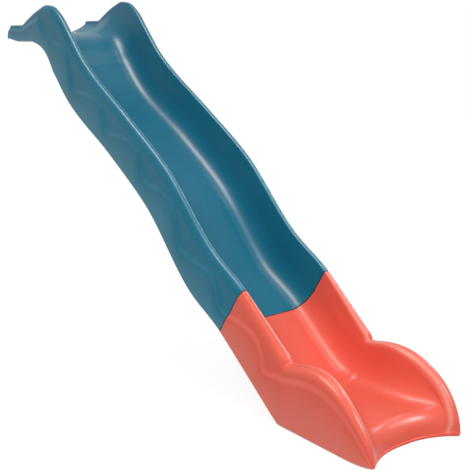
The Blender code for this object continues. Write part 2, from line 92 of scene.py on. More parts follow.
# The underside's corner at the deck's edge, with the hump over it: how far the underside's point lies
# past the edge and below the deck, then how far the rail's point lies past the edge and below the hump
HUMP_POINTS = (
    (-0.135, 0.112, -0.282, 0.076),
    (-0.104, 0.075, -0.232, 0.038),
    (-0.062, 0.042, -0.170, 0.008),
    (-0.018, 0.022, -0.095, 0.000),
    (0.035, 0.008, -0.018, 0.016),
    (0.090, 0.000, 0.060, 0.039),
    (0.160, 0.000, 0.143, 0.070),
)

# The run-out, its two fenders and their toes
FENDER_HEIGHT = 0.287
FENDER_TAPER = 1.3
FENDER_REACH = 0.330
NOTCH_FROM_FOOT = 0.139
NOTCH_HEIGHT = 0.266
RUNOUT_FLOOR = 0.100
RUNOUT_CROWN = 0.006
FRONT_RECESS = 0.078
FRONT_BOW = 2.5
FRONT_ROLL = 0.058
TOE_HEIGHT = 0.019
TOE_EDGE = 0.012
TOE_ROUND = 0.130
TOE_HALF_WIDTH = 0.218

# The fender's top from its ridge to the notch: the share of the flat foot under it, the share of the
# way to the notch, and the share of its sag
FENDER_SAG = ((0.35, 0.25, 0.10), (0.70, 0.52, 0.45), (0.95, 0.77, 0.85))

# The level stretch before the notch: the share of the slope under it, and the share of the way from
# the ridge to the notch
NOTCH_LEVEL = ((0.30, 0.88), (0.65, 0.94))

# The share of the run-out's extra thickness that is left at the ridge, at the slope's foot, at a
# first bend, at the notch, halfway from there to the seam, and at the seam
RUNOUT_SHARES = (1.0, 1.0, 0.70, 0.32, 0.08, 0.0)
RUNOUT_BEND = 0.4

# The section across the slide
BODY_WIDTH = 0.506
RAIL_WIDTH = 0.046
FENDER_WIDTH = 0.078
TOE_WIDTH = 0.050
EAR_WIDTH = 0.031
FLOOR_THICKNESS = 0.026
FILLET_WIDTH = 0.082
FILLET_RISE = 0.120
RAIL_INNER_ROUND = 0.010
FENDER_INNER_ROUND = 0.024
EAR_INNER_ROUND = 0.008
RAIL_OUTER_ROUND = 0.026
RAIL_OUTER_DROP = 0.052
FENDER_OUTER_ROUND = 0.036
TOE_OUTER_ROUND = 0.020
EAR_OUTER_ROUND = 0.010
EAR_SLANT = 0.6
BASE_ROUND = 0.008
SEAM_ROUND = 0.003
LIP_ROUND = 0.005
TOE_EDGE_ROUND = 0.004

# The most that each part of the section takes of the side wall's height or, for the fillet and the
# inner round, of the trough's depth
ROUND_SHARE = 0.3
BASE_SHARE = 0.2
STEP_SHARE = 0.15
FILLET_SHARE = 0.9

# The wavy step moulded in each skirt, whose lower part stands proud of the upper part, with the share
# of it that is left at the toe's tip and the room it keeps from the rounds, in halves of its width
STEP_PROUD = 0.009
STEP_WIDTH = 0.038
STEP_HEIGHT = 0.142
STEP_SWING = 0.048
STEP_PITCH = 0.385
STEP_CREST_FROM_FOOT = 0.300
STEP_LEAN = 0.40
FENDER_STEP_DROP = 0.046
TOE_STEP = 0.2
STEP_ROOM = 1.2

# The fasteners' pockets under the seam, and the holes
THREAD = 0.008
HOLE_CLEARANCE = 0.0006
SCREW_COUNT = 3
SCREW_SPACING = 0.080
SCREW_FROM_END = 0.185
FLANGE = 0.008
BOLT_HEIGHTS = (0.032, 0.080)
POCKET_WIDTH = 0.028
POCKET_LENGTH = 0.075
POCKET_HEADROOM = 0.014
DRAIN_WIDTH = 0.010
DRAIN_DEPTH = 0.006
DRAIN_FROM_END = 0.130
CUTTER_REACH = 0.030

# The plastics' colours, each with the paler one of its scuffs and painted highlights and the deeper one
# of its clouds, and the near black of the painted shade in the seam
BLUE = (0.010, 0.178, 0.280, 1.0)
PALE_BLUE = (0.20, 0.44, 0.54, 1.0)
DEEP_BLUE = (0.008, 0.162, 0.257, 1.0)
RED = (0.880, 0.141, 0.096, 1.0)
PALE_RED = (0.95, 0.44, 0.36, 1.0)
DEEP_RED = (0.855, 0.128, 0.085, 1.0)
SEAM_SHADE_COLOUR = (0.02, 0.02, 0.025, 1.0)

# The plastics' patterns, in blobs to the metre, and across and along the slide for the scuffs, with
# the specks' share of the tone
CLOUD_SCALE = 4.0
SPECK_SCALE = 70.0
SWELL_SCALE = 11.0
GRAIN_SCALE = 320.0
SCUFF_SCALE = (160.0, 2.5, 1.0)
SPECK_SHARE = 0.2

# How far the colour goes to the paler one over the scuffs, and as a painted highlight over the step, the
# crest and the base edge, where it also stands for the paler parting line, and to the near black of a
# painted shade in the seam
SCUFF_PALE = 0.07
STEP_HIGHLIGHT = 0.09
CREST_HIGHLIGHT = 0.50
BASE_HIGHLIGHT = 0.50
SEAM_SHADE_SHARE = 0.75

# The plastics' sheen, what the clouds and the scuffs add to its roughness, and the relief in metres
PLASTIC_SPECULAR = 0.14
PLASTIC_ROUGHNESS = 0.32
CLOUD_ROUGHNESS = 0.05
SCUFF_ROUGHNESS = 0.10
SWELL_RELIEF = 0.0006
GRAIN_RELIEF = 0.00004
SCUFF_RELIEF = 0.00002

# The zinc's two greys, its patterns in blobs to the metre, its roughness with what the patches and the
# spangle add to it, and its relief in metres
BRIGHT_ZINC = (0.62, 0.63, 0.64, 1.0)
DULL_ZINC = (0.48, 0.49, 0.50, 1.0)
SPANGLE_SCALE = 600.0
PATCH_SCALE = 180.0
ZINC_ROUGHNESS = 0.26
PATCH_ROUGHNESS = 0.14
SPANGLE_ROUGHNESS = 0.08
SPANGLE_RELIEF = 0.00003

# The studio: the floor's size, grey, glow that turns it white to the camera, and roughness, the sky's
# light, and the point on the slide that every lamp looks at
FLOOR_SIZE = 4000.0
FLOOR_GREY = 0.32
FLOOR_GLOW = 0.80
FLOOR_ROUGHNESS = 0.9
SKY_LIGHT = 0.66
LIT_POINT = (0.0, 0.0, 0.8)

# How finely the curves and the skins are divided
FENDER_KNOTS = 23
SLOPE_KNOTS = 80
STATION = 0.008
TOE_RINGS = 40
FLOOR_POINTS = 6
FILLET_POINTS = 18
ROUND_POINTS = 8
STEP_POINTS = 9
BASE_POINTS = 5
BELOW_POINTS = 14
END_RINGS = 5
DRILL_SIDES = 40

# How close to a flat face's ends its support points lie, which keep its shading level, and the most of
# the face's height that this may be
SUPPORT = 0.003
SUPPORT_SHARE = 0.3

# Vertices this close are welded, and edges sharper than this many degrees stay sharp
WELD = 0.00001
SHARP_ANGLE = 40

# How strongly the points over the crest and round the base edge are marked for the painted highlight's
# paler colour
CREST_MARKS = (0.3, 0.9, 1.0, 0.4)
BASE_MARKS = (0.5, 1.0, 1.0, 0.3)

SLOPE_ANGLE = math.atan2(DECK_HEIGHT, SLOPE_RUN)
SLOPE_LENGTH = math.hypot(DECK_HEIGHT, SLOPE_RUN)
UPHILL = np.array((math.cos(SLOPE_ANGLE), math.sin(SLOPE_ANGLE)))
OFF_SLOPE = np.array((-math.sin(SLOPE_ANGLE), math.cos(SLOPE_ANGLE)))
FRONT_Y = -(RUNOUT_LENGTH + SLOPE_RUN + LIP_LENGTH) / 2
FOOT_Y = FRONT_Y + RUNOUT_LENGTH
RIDGE_Y = FRONT_Y + FENDER_REACH
EDGE_Y = FOOT_Y + SLOPE_RUN
HALF_WIDTH = BODY_WIDTH / 2
BOLT_SIDES = (-HALF_WIDTH + RAIL_WIDTH / 2, HALF_WIDTH - RAIL_WIDTH / 2)
HOLE_WIDTH = THREAD + HOLE_CLEARANCE


def add_camera():
    """The photograph's camera, turned to its azimuth and height and rolled a little."""
    back = Vector((
        math.sin(CAMERA_AZIMUTH) * math.cos(CAMERA_HEIGHT),
        -math.cos(CAMERA_AZIMUTH) * math.cos(CAMERA_HEIGHT),
        math.sin(CAMERA_HEIGHT),
    ))
    level_right = Vector((0, 0, 1)).cross(back).normalized()
    level_up = back.cross(level_right)
    right = math.cos(CAMERA_ROLL) * level_right - math.sin(CAMERA_ROLL) * level_up
    up = back.cross(right)
    data = bpy.data.cameras.new("photo_view")
    data.sensor_width = CAMERA_SENSOR
    data.lens = CAMERA_LENS
    camera = bpy.data.objects.new("photo_view", data)
    bpy.context.scene.collection.objects.link(camera)
    turn = Matrix((right, up, back)).transposed().to_4x4()
    camera.matrix_world = Matrix.Translation(CAMERA_PLACE) @ turn
    bpy.context.scene.camera = camera


# Sections and stations of the two chutes


def smooth(x, knots, values):
    """A smooth curve through the knots that never swings past them."""
    steps = np.diff(knots)
    slopes = np.diff(values) / steps
    before, after = slopes[:-1], slopes[1:]
    level = before * after <= 0
    inner = np.where(level, 0.0, 2 * before * after / np.where(level, 1.0, before + after))
    tangents = np.concatenate((slopes[:1], inner, slopes[-1:]))
    x = min(max(x, knots[0]), knots[-1])
    i = min(max(int(np.searchsorted(knots, x)) - 1, 0), len(steps) - 1)
    t = (x - knots[i]) / steps[i]
    rise = values[i + 1] - values[i]
    start, end = tangents[i] * steps[i], tangents[i + 1] * steps[i]
    square, cube = 3 * rise - 2 * start - end, start + end - 2 * rise
    return float(values[i] + t * (start + t * (square + t * cube)))


def on_slope(along, off):
    """The point of the side view this far up the slope from its foot and off its straight line."""
    return np.array((FOOT_Y, 0.0)) + along * UPHILL + off * OFF_SLOPE


def wave(along):
    """How far the underside leaves the slope's straight line here, and the side wall's height."""
    shares, offsets, heights = zip(*WAVES)
    share = along / SLOPE_LENGTH
    return smooth(share, shares, offsets), smooth(share, shares, heights)


def fender_knots():
    """The fender's round ridge over the flat foot, from the toe's tip to the notch."""
    knots = []
    for turn in np.linspace(0, math.pi / 2, FENDER_KNOTS):
        y = RIDGE_Y - FENDER_REACH * math.cos(turn)
        top = TOE_HEIGHT + (FENDER_HEIGHT - TOE_HEIGHT) * math.sin(turn) ** FENDER_TAPER
        knots.append((y - FOOT_Y, (y, 0.0), (y, top)))
    flat = FOOT_Y - RIDGE_Y
    notch_y = on_slope(NOTCH_FROM_FOOT, sum(wave(NOTCH_FROM_FOOT)))[0]
    sag = FENDER_HEIGHT - NOTCH_HEIGHT
    for share, ridge_share, sag_share in FENDER_SAG:
        top = (RIDGE_Y + ridge_share * (notch_y - RIDGE_Y), FENDER_HEIGHT - sag_share * sag)
        knots.append(((share - 1) * flat, (RIDGE_Y + share * flat, 0.0), top))
    for share, ridge_share in NOTCH_LEVEL:
        along = share * NOTCH_FROM_FOOT
        top = (RIDGE_Y + ridge_share * (notch_y - RIDGE_Y), NOTCH_HEIGHT)
        knots.append((along, tuple(on_slope(along, 0.0)), top))
    return knots


def slope_knots():
    """The wavy underside and rail, from the notch to where the deck's corner starts."""
    top_end = SLOPE_LENGTH * WAVES[-1][0]
    knots = []
    for along in np.linspace(NOTCH_FROM_FOOT, top_end, SLOPE_KNOTS):
        offset, height = wave(along)
        knots.append((along, tuple(on_slope(along, offset)), tuple(on_slope(along, offset + height))))
    return knots


def lip_knots():
    """The underside's corner at the deck's edge, the rail's hump over it, and the ear."""
    points = [(y, -drop, top_y, HUMP_HEIGHT - top_drop) for y, drop, top_y, top_drop in HUMP_POINTS]
    bend = LIP_FLAT + LIP_BEND * (LIP_LENGTH - LIP_FLAT)
    points += [
        (EAR_START, 0.0, EAR_START - EAR_START_SETBACK * EAR_SETBACK, EAR_HEIGHT),
        (LIP_FLAT, 0.0, LIP_FLAT - EAR_FLAT_SETBACK * EAR_SETBACK, EAR_HEIGHT),
        (bend, LIP_BEND_RISE * LIP_RISE, bend - EAR_BEND_SETBACK * EAR_SETBACK, EAR_HEIGHT),
        (LIP_LENGTH, LIP_RISE, LIP_LENGTH - EAR_SETBACK, EAR_HEIGHT),
    ]
    edge = np.array((EDGE_Y, DECK_HEIGHT))
    return [
        (SLOPE_LENGTH + under_y, tuple(edge + (under_y, under_z)), tuple(edge + (top_y, top_z)))
        for under_y, under_z, top_y, top_z in points
    ]


# Each knot holds a place, the underside's point there and the rail's point above it. The place is
# the distance up the slope from its foot: negative on the run-out, past the slope's length on the lip.
KNOTS = fender_knots() + slope_knots() + lip_knots()
PLACES = [knot[0] for knot in KNOTS]
TOE_PLACE = PLACES[0]
RIDGE_PLACE = RIDGE_Y - FOOT_Y
HUMP_PLACE = SLOPE_LENGTH - HUMP_START
EAR_PLACE = SLOPE_LENGTH + EAR_START
FLAT_PLACE = SLOPE_LENGTH + LIP_FLAT
LIP_PLACE = PLACES[-1]


def side_points(place):
    """The underside's point and the rail's point of the section at this place."""
    under = [smooth(place, PLACES, [knot[1][axis] for knot in KNOTS]) for axis in (0, 1)]
    top = [smooth(place, PLACES, [knot[2][axis] for knot in KNOTS]) for axis in (0, 1)]
    return np.array(under), np.array(top)


def by_place(place, toe, fender, rail, ear):
    """A size of the section that changes between the toe, the fender, the rail and the ear."""
    knots = (TOE_PLACE, RIDGE_PLACE, SEAM_FROM_FOOT + NOTCH_FROM_FOOT, HUMP_PLACE, EAR_PLACE)
    return smooth(place, knots, (toe, fender, rail, rail, ear))


def floor_height(place):
    """The sliding surface's height above the underside, which the run-out rolls down in front."""
    if place > FLAT_PLACE:
        return smooth(place, (FLAT_PLACE, LIP_PLACE), (FLOOR_THICKNESS, LIP_THICKNESS))
    if place < RIDGE_PLACE:
        back = (place - TOE_PLACE) * (1 - FRONT_RECESS / FENDER_REACH)
        short = 1 - min(1.0, back / FRONT_ROLL)
        return TOE_EDGE + (RUNOUT_FLOOR - TOE_EDGE) * math.sqrt(1 - short**2)
    halfway = (NOTCH_FROM_FOOT + SEAM_FROM_FOOT) / 2
    knots = (RIDGE_PLACE, 0.0, RUNOUT_BEND * NOTCH_FROM_FOOT, NOTCH_FROM_FOOT, halfway, SEAM_FROM_FOOT)
    rise = RUNOUT_FLOOR - FLOOR_THICKNESS
    return smooth(place, knots, [FLOOR_THICKNESS + share * rise for share in RUNOUT_SHARES])


def step_height(place):
    """How high the wavy step lies above the underside. Along the fender it follows the ridge."""
    turn = 2 * math.pi * (place - STEP_CREST_FROM_FOOT) / STEP_PITCH
    waving = STEP_HEIGHT + STEP_SWING * math.cos(turn + STEP_LEAN * (math.cos(turn) - 1))
    under, top = side_points(place)
    following = float(np.linalg.norm(top - under)) - FENDER_STEP_DROP
    hollow = STEP_CREST_FROM_FOOT - STEP_PITCH / 4
    share = smooth(place, (NOTCH_FROM_FOOT / 2, hollow), (0.0, 1.0))
    return following + share * (waving - following)


def half_width(place):
    """Half the body's width, which draws in round the toe's tip."""
    back = min(1.0, (place - TOE_PLACE) / TOE_ROUND)
    return TOE_HALF_WIDTH + (HALF_WIDTH - TOE_HALF_WIDTH) * math.sqrt(1 - (1 - back) ** 2)


def arc(centre, radii, start, end, points):
    """Points of an elliptical arc in the section's plane, both ends included."""
    turns = np.radians(np.linspace(start, end, points))
    return [(centre[0] + radii[0] * math.cos(t), centre[1] + radii[1] * math.sin(t)) for t in turns]


def half_section(place, wall):
    """The section's right half, as (x, height), from the floor's middle to the underside's."""
    floor = floor_height(place)
    depth = wall - floor
    outer = half_width(place)
    inner = outer - by_place(place, TOE_WIDTH, FENDER_WIDTH, RAIL_WIDTH, EAR_WIDTH)
    proud = STEP_PROUD * smooth(place, (TOE_PLACE, RIDGE_PLACE), (TOE_STEP, 1.0))
    upper = outer - proud
    inner_round = by_place(
        place, FENDER_INNER_ROUND, FENDER_INNER_ROUND, RAIL_INNER_ROUND, EAR_INNER_ROUND
    )
    outer_round = by_place(
        place, TOE_OUTER_ROUND, FENDER_OUTER_ROUND, RAIL_OUTER_ROUND, EAR_OUTER_ROUND
    )
    inner_drop = min(inner_round, ROUND_SHARE * depth)
    outer_drop = by_place(
        place, TOE_OUTER_ROUND, FENDER_OUTER_ROUND, RAIL_OUTER_DROP, EAR_OUTER_ROUND
    )
    outer_drop = min(outer_drop, ROUND_SHARE * wall)
    base = min(BASE_ROUND, BASE_SHARE * wall)
    rise = min(FILLET_RISE, FILLET_SHARE * (depth - inner_drop))
    crown = RUNOUT_CROWN * smooth(place, (RIDGE_PLACE, 0.0), (1.0, 0.0)) * min(1.0, depth / FILLET_RISE)
    half_step = min(STEP_WIDTH / 2, STEP_SHARE * wall)
    room = STEP_ROOM * half_step
    step = min(max(step_height(place), base + room), wall - outer_drop - room)
    flat = inner - FILLET_WIDTH
    points = []
    for i in range(FLOOR_POINTS):
        share = i / FLOOR_POINTS
        points.append((flat * i / FLOOR_POINTS, floor + crown * (1 - share**2)))
    slant = by_place(place, 0.0, 0.0, 0.0, EAR_SLANT)
    for x, height in arc((flat, floor + rise), (FILLET_WIDTH, rise), -90, 0, FILLET_POINTS):
        chord = floor + rise * (x - flat) / FILLET_WIDTH
        points.append((x, height + slant * (chord - height)))
    inner_centre = (inner + inner_round, wall - inner_drop)
    points += arc(inner_centre, (inner_round, inner_drop), 180, 90, ROUND_POINTS)
    outer_centre = (upper - outer_round, wall - outer_drop)
    points += arc(outer_centre, (outer_round, outer_drop), 90, 0, ROUND_POINTS + 2)
    above, below = wall - outer_drop, step - half_step
    points.append((upper, above - min(SUPPORT, SUPPORT_SHARE * (above - step - half_step))))
    for i in range(STEP_POINTS):
        share = i / (STEP_POINTS - 1)
        x = upper + proud * share * share * (3 - 2 * share)
        points.append((x, step + half_step * (1 - 2 * share)))
    points.append((outer, base + min(SUPPORT, SUPPORT_SHARE * (below - base))))
    points += arc((outer - base, base), (base, base), 0, -90, BASE_POINTS)
    points += [((outer - base) * i / BELOW_POINTS, 0.0) for i in range(BELOW_POINTS - 1, -1, -1)]
    return points


def section_marks():
    """How far each point of the section's right half belongs to the step, the crest and the base."""
    step = [0.0] * (FLOOR_POINTS + FILLET_POINTS + ROUND_POINTS + ROUND_POINTS + 3)
    crest, base = list(step), list(step)
    top = FLOOR_POINTS + FILLET_POINTS + ROUND_POINTS
    crest[top - len(CREST_MARKS) : top] = CREST_MARKS
    step += [math.sin(math.pi * i / (STEP_POINTS - 1)) for i in range(STEP_POINTS)]
    step += [0.0] * (1 + BASE_POINTS + BELOW_POINTS)
    crest += [0.0] * (STEP_POINTS + 1 + BASE_POINTS + BELOW_POINTS)
    base += [0.0] * STEP_POINTS + list(BASE_MARKS)
    base += [0.0] * (1 + BASE_POINTS - len(BASE_MARKS) + BELOW_POINTS)
    return {"step": step, "crest": crest, "base": base}


def inset(outline, by):
    """The closed outline, which runs clockwise, moved inwards by this much."""
    points = np.array(outline)
    edges = np.roll(points, -1, axis=0) - points
    edges /= np.linalg.norm(edges, axis=1)[:, None]
    inward = np.stack((edges[:, 1], -edges[:, 0]), axis=1)
    corner = inward + np.roll(inward, 1, axis=0)
    corner /= np.maximum(np.sum(corner * inward, axis=1), 0.5)[:, None]
    return points + by * corner


def ring(place, shift=0.0, by=0.0):
    """The section at this place in space, moved this far up the slide and drawn in by this much."""
    under, top = side_points(place)
    wall = float(np.linalg.norm(top - under))
    up = (top - under) / wall
    ahead = np.array((up[1], -up[0]))
    half = half_section(place, wall)
    outline = half + [(-x, height) for x, height in half[-2:0:-1]]
    front_share = max(0.0, 1 - (place - TOE_PLACE) / FENDER_REACH)
    points = []
    for x, height in inset(outline, by):
        y, z = under + height * up + shift * ahead
        bow = max(0.0, 1 - (abs(x) / TOE_HALF_WIDTH) ** FRONT_BOW)
        points.append((x, y + FRONT_RECESS * front_share * bow, z))
    return points


def rounded_end(place, size):
    """Rings that round off an end, from its end face inwards: up the slide, or down."""
    rings = []
    for turn in np.linspace(0, math.pi / 2, END_RINGS):
        rings.append(ring(place, size * (1 - math.cos(turn)), abs(size) * (1 - math.sin(turn))))
    return rings


# Modelling the skins


def only(*chosen):
    """Selects these objects alone, the first one active."""
    bpy.ops.object.select_all(action="DESELECT")
    for made in chosen:
        made.select_set(True)
    bpy.context.view_layer.objects.active = chosen[0]


def rolled_skin(name, rings, seam_rows):
    """A grid whose rows take the rings' places, welded into a tube and closed at its ends."""
    rows, columns = len(rings), len(rings[0])
    bpy.ops.object.select_all(action="DESELECT")
    bpy.ops.mesh.primitive_grid_add(x_subdivisions=columns, y_subdivisions=rows - 1, size=1)
    made = bpy.context.object
    made.name = made.data.name = name
    points = np.array(rings)
    wrapped = np.concatenate((points, points[:, :1]), axis=1)
    made.data.vertices.foreach_set("co", wrapped.ravel())
    round_length = np.linalg.norm(np.diff(wrapped, axis=1), axis=2)
    across = np.concatenate((np.zeros((rows, 1)), np.cumsum(round_length, axis=1)), axis=1)
    middle = wrapped[:, 0]
    along = np.concatenate(((0.0,), np.cumsum(np.linalg.norm(np.diff(middle, axis=0), axis=1))))
    corners = np.empty(len(made.data.loops), dtype=np.int32)
    made.data.loops.foreach_get("vertex_index", corners)
    flat = np.stack((across.ravel()[corners], np.repeat(along, columns + 1)[corners]), axis=1)
    made.data.uv_layers.active.data.foreach_set("uv", flat.ravel())
    for mark, half in section_marks().items():
        row = half + half[-2:0:-1] + half[:1]
        made.data.attributes.new(mark, "FLOAT", "POINT").data.foreach_set("value", row * rows)
    # The rings at the seam's rounded ends carry the mark for the painted shade
    at_seam = np.zeros((rows, columns + 1))
    at_seam[seam_rows] = 1.0
    made.data.attributes.new("seam", "FLOAT", "POINT").data.foreach_set("value", at_seam.ravel())
    bpy.ops.object.mode_set(mode="EDIT")
    bpy.ops.mesh.select_all(action="SELECT")
    bpy.ops.mesh.remove_doubles(threshold=WELD)
    bpy.ops.mesh.select_all(action="DESELECT")
    bpy.ops.mesh.select_non_manifold(
        extend=False, use_wire=False, use_multi_face=False, use_non_contiguous=False
    )
    bpy.ops.mesh.fill()
    bpy.ops.mesh.select_all(action="SELECT")
    bpy.ops.mesh.normals_make_consistent(inside=False)
    bpy.ops.object.mode_set(mode="OBJECT")
    return made


def cut_away(made, tools):
    """Cuts these tools out of the object and removes them."""
    for tool in tools:
        only(made)
        cut = made.modifiers.new("cut", "BOOLEAN")
        cut.object = tool
        cut.solver = "EXACT"
        bpy.ops.object.modifier_apply(modifier=cut.name)
        bpy.data.objects.remove(tool, do_unlink=True)


def drill(width, place, low, high):
    """A round tool along the place's Z, between two heights."""
    bpy.ops.object.select_all(action="DESELECT")
    bpy.ops.mesh.primitive_cylinder_add(vertices=DRILL_SIDES, radius=width / 2, depth=high - low)
    tool = bpy.context.object
    tool.matrix_world = place @ Matrix.Translation((0, 0, (low + high) / 2))
    bpy.context.view_layer.update()
    return tool


def pocket_tool(place, x, way):
    """A box that opens a bolt pocket behind the seam's end wall."""
    near, far = sorted((way * FLANGE, way * (FLANGE + POCKET_LENGTH)))
    top = max(BOLT_HEIGHTS) + POCKET_HEADROOM
    size = (POCKET_WIDTH, top + CUTTER_REACH, far - near)
    centre = (x, (top - CUTTER_REACH) / 2, (near + far) / 2)
    bpy.ops.object.select_all(action="DESELECT")
    bpy.ops.mesh.primitive_cube_add(size=1)
    tool = bpy.context.object
    tool.matrix_world = place @ Matrix.Translation(centre) @ Matrix.Diagonal((*size, 1.0))
    bpy.ops.object.transform_apply(location=True, rotation=True, scale=True)
    return tool


def seam_frame():
    """The seam's frame on the underside: X across the slide, Y off the slope, Z downhill."""
    y, z = on_slope(SEAM_FROM_FOOT, wave(SEAM_FROM_FOOT)[0])
    return Matrix.Translation((0, y, z)) @ Matrix.Rotation(math.pi / 2 + SLOPE_ANGLE, 4, "X")


def drill_seam(made, place):
    """Drills the four bolt holes through the end wall."""
    tools = []
    for x in BOLT_SIDES:
        for height in BOLT_HEIGHTS:
            axis = place @ Matrix.Translation((x, height, 0))
            tools.append(drill(HOLE_WIDTH, axis, -CUTTER_REACH, CUTTER_REACH))
    cut_away(made, tools)


def finish_chute(made, node, material):
    """Smooths the skin, gives it its plastic and puts it in its node's place."""
    only(made)
    bpy.ops.object.shade_smooth_by_angle(angle=math.radians(SHARP_ANGLE))
    made.data.materials.clear()
    made.data.materials.append(material)
    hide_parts(node)
    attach(made, "root")


def stations(start, end):
    """Places from start to end, about a station apart."""
    return np.linspace(start, end, max(2, round((end - start) / STATION) + 1))


def add_upper_chute(material):
    """The blue chute, from the seam to the lip, with its pockets, its drain hole and its screw holes."""
    seam = SEAM_FROM_FOOT + SEAM_GAP / 2
    rings = rounded_end(seam, SEAM_ROUND)
    rings += [ring(place) for place in stations(seam + 2 * SEAM_ROUND, LIP_PLACE - 2 * LIP_ROUND)]
    rings += rounded_end(LIP_PLACE, -LIP_ROUND)[::-1]
    made = rolled_skin("upper_skin", rings, slice(0, END_RINGS - 1))
    place = seam_frame()
    tools = [pocket_tool(place, x, -1) for x in BOLT_SIDES]
    y, z = on_slope(SEAM_FROM_FOOT + DRAIN_FROM_END, wave(SEAM_FROM_FOOT + DRAIN_FROM_END)[0])
    across = Matrix.Translation((0, y, z)) @ Matrix.Rotation(SLOPE_ANGLE, 4, "X")
    tools.append(drill(DRAIN_WIDTH, across, -CUTTER_REACH, DRAIN_DEPTH))
    deck = Matrix.Translation((0, EDGE_Y + LIP_LENGTH - SCREW_FROM_END, DECK_HEIGHT))
    for i in range(SCREW_COUNT):
        x = (i - (SCREW_COUNT - 1) / 2) * SCREW_SPACING
        hole = deck @ Matrix.Translation((x, 0, 0))
        tools.append(drill(HOLE_WIDTH, hole, -CUTTER_REACH, 2 * CUTTER_REACH))
    cut_away(made, tools)
    drill_seam(made, place)
    finish_chute(made, "upper_chute", material)


def add_lower_chute(material):
    """The red chute, from the toes to the seam, with its pockets and its drain hole."""
    seam = SEAM_FROM_FOOT - SEAM_GAP / 2
    rings = [
        ring(TOE_PLACE, TOE_EDGE_ROUND * (1 - math.cos(turn)), TOE_EDGE_ROUND * (1 - math.sin(turn)))
        for turn in np.linspace(0, math.pi / 2, END_RINGS)
    ]
    turns = np.linspace(0, math.pi / 2, TOE_RINGS)
    toe = [TOE_PLACE + FENDER_REACH * (1 - math.cos(turn)) for turn in turns]
    rings += [ring(place) for place in toe if place > TOE_PLACE + 1.5 * TOE_EDGE_ROUND]
    rings += [ring(place) for place in stations(RIDGE_PLACE, seam - 2 * SEAM_ROUND)[1:]]
    rings += rounded_end(seam, -SEAM_ROUND)[::-1]
    made = rolled_skin("lower_skin", rings, slice(1 - END_RINGS, None))
    place = seam_frame()
    tools = [pocket_tool(place, x, 1) for x in BOLT_SIDES]
    foot = Matrix.Translation((0, FOOT_Y - DRAIN_FROM_END, 0))
    tools.append(drill(DRAIN_WIDTH, foot, -CUTTER_REACH, DRAIN_DEPTH))
    cut_away(made, tools)
    drill_seam(made, place)
    finish_chute(made, "lower_chute", material)


# Materials


class Value:
    """A number that varies over the surface: sums of it add the Math nodes they need."""

    def __init__(self, recipe, socket):
        self.recipe = recipe
        self.socket = socket

    def __add__(self, other):
        return self.recipe.sum("ADD", self, other)

    def __sub__(self, other):
        return self.recipe.sum("SUBTRACT", self, other)

    def __rsub__(self, other):
        return self.recipe.sum("SUBTRACT", other, self)

    def __mul__(self, other):
        return self.recipe.sum("MULTIPLY", self, other)

    __radd__ = __add__
    __rmul__ = __mul__


class Recipe:
    """One material. Its node method takes a node's type, its settings, then its sockets' values."""

    def __init__(self, name):
        self.material = bpy.data.materials.new(name)
        self.material.use_nodes = True
        self.tree = self.material.node_tree
        self.shader = self.tree.nodes["Principled BSDF"]

    def put(self, socket, value):
        """Links a varying value to the socket, or sets the socket to a plain one."""
        if isinstance(value, Value):
            self.tree.links.new(value.socket, socket)
        else:
            socket.default_value = value

    def node(self, kind, settings=None, sockets=None, output=0):
        made = self.tree.nodes.new("ShaderNode" + kind)
        for name, value in (settings or {}).items():
            setattr(made, name, value)
        for name, value in (sockets or {}).items():
            self.put(made.inputs[name], value)
        return Value(self, made.outputs[output])

    def sum(self, operation, first, second):
        """One Math node over two numbers, of which at least one varies."""
        return self.node("Math", {"operation": operation}, {0: first, 1: second})

    def finish(self, **sockets):
        """Fills the shader's sockets, whose names have _ for a space, and returns the material."""
        for name, value in sockets.items():
            self.put(self.shader.inputs[name.replace("_", " ")], value)
        return self.material

    def noise(self, place, scale, detail=2.0, roughness=0.5):
        """Even noise from 0 to 1, with this many blobs to the metre."""
        sockets = {"Vector": place, "Scale": scale, "Detail": detail, "Roughness": roughness}
        return self.node("TexNoise", {}, sockets, "Fac")

    def mark(self, name):
        """The mark of this name that the skin's points carry."""
        return self.node("Attribute", {"attribute_name": name}, {}, "Fac")

    def between(self, value, low, high):
        """0 below low, 1 above high and smooth between them."""
        return self.node(
            "MapRange",
            {"interpolation_type": "SMOOTHSTEP"},
            {"Value": value, "From Min": low, "From Max": high},
        )

    def blend(self, share, first, second):
        """A colour between two others."""
        return self.node("Mix", {"data_type": "RGBA"}, {"Factor": share, 6: first, 7: second}, 2)


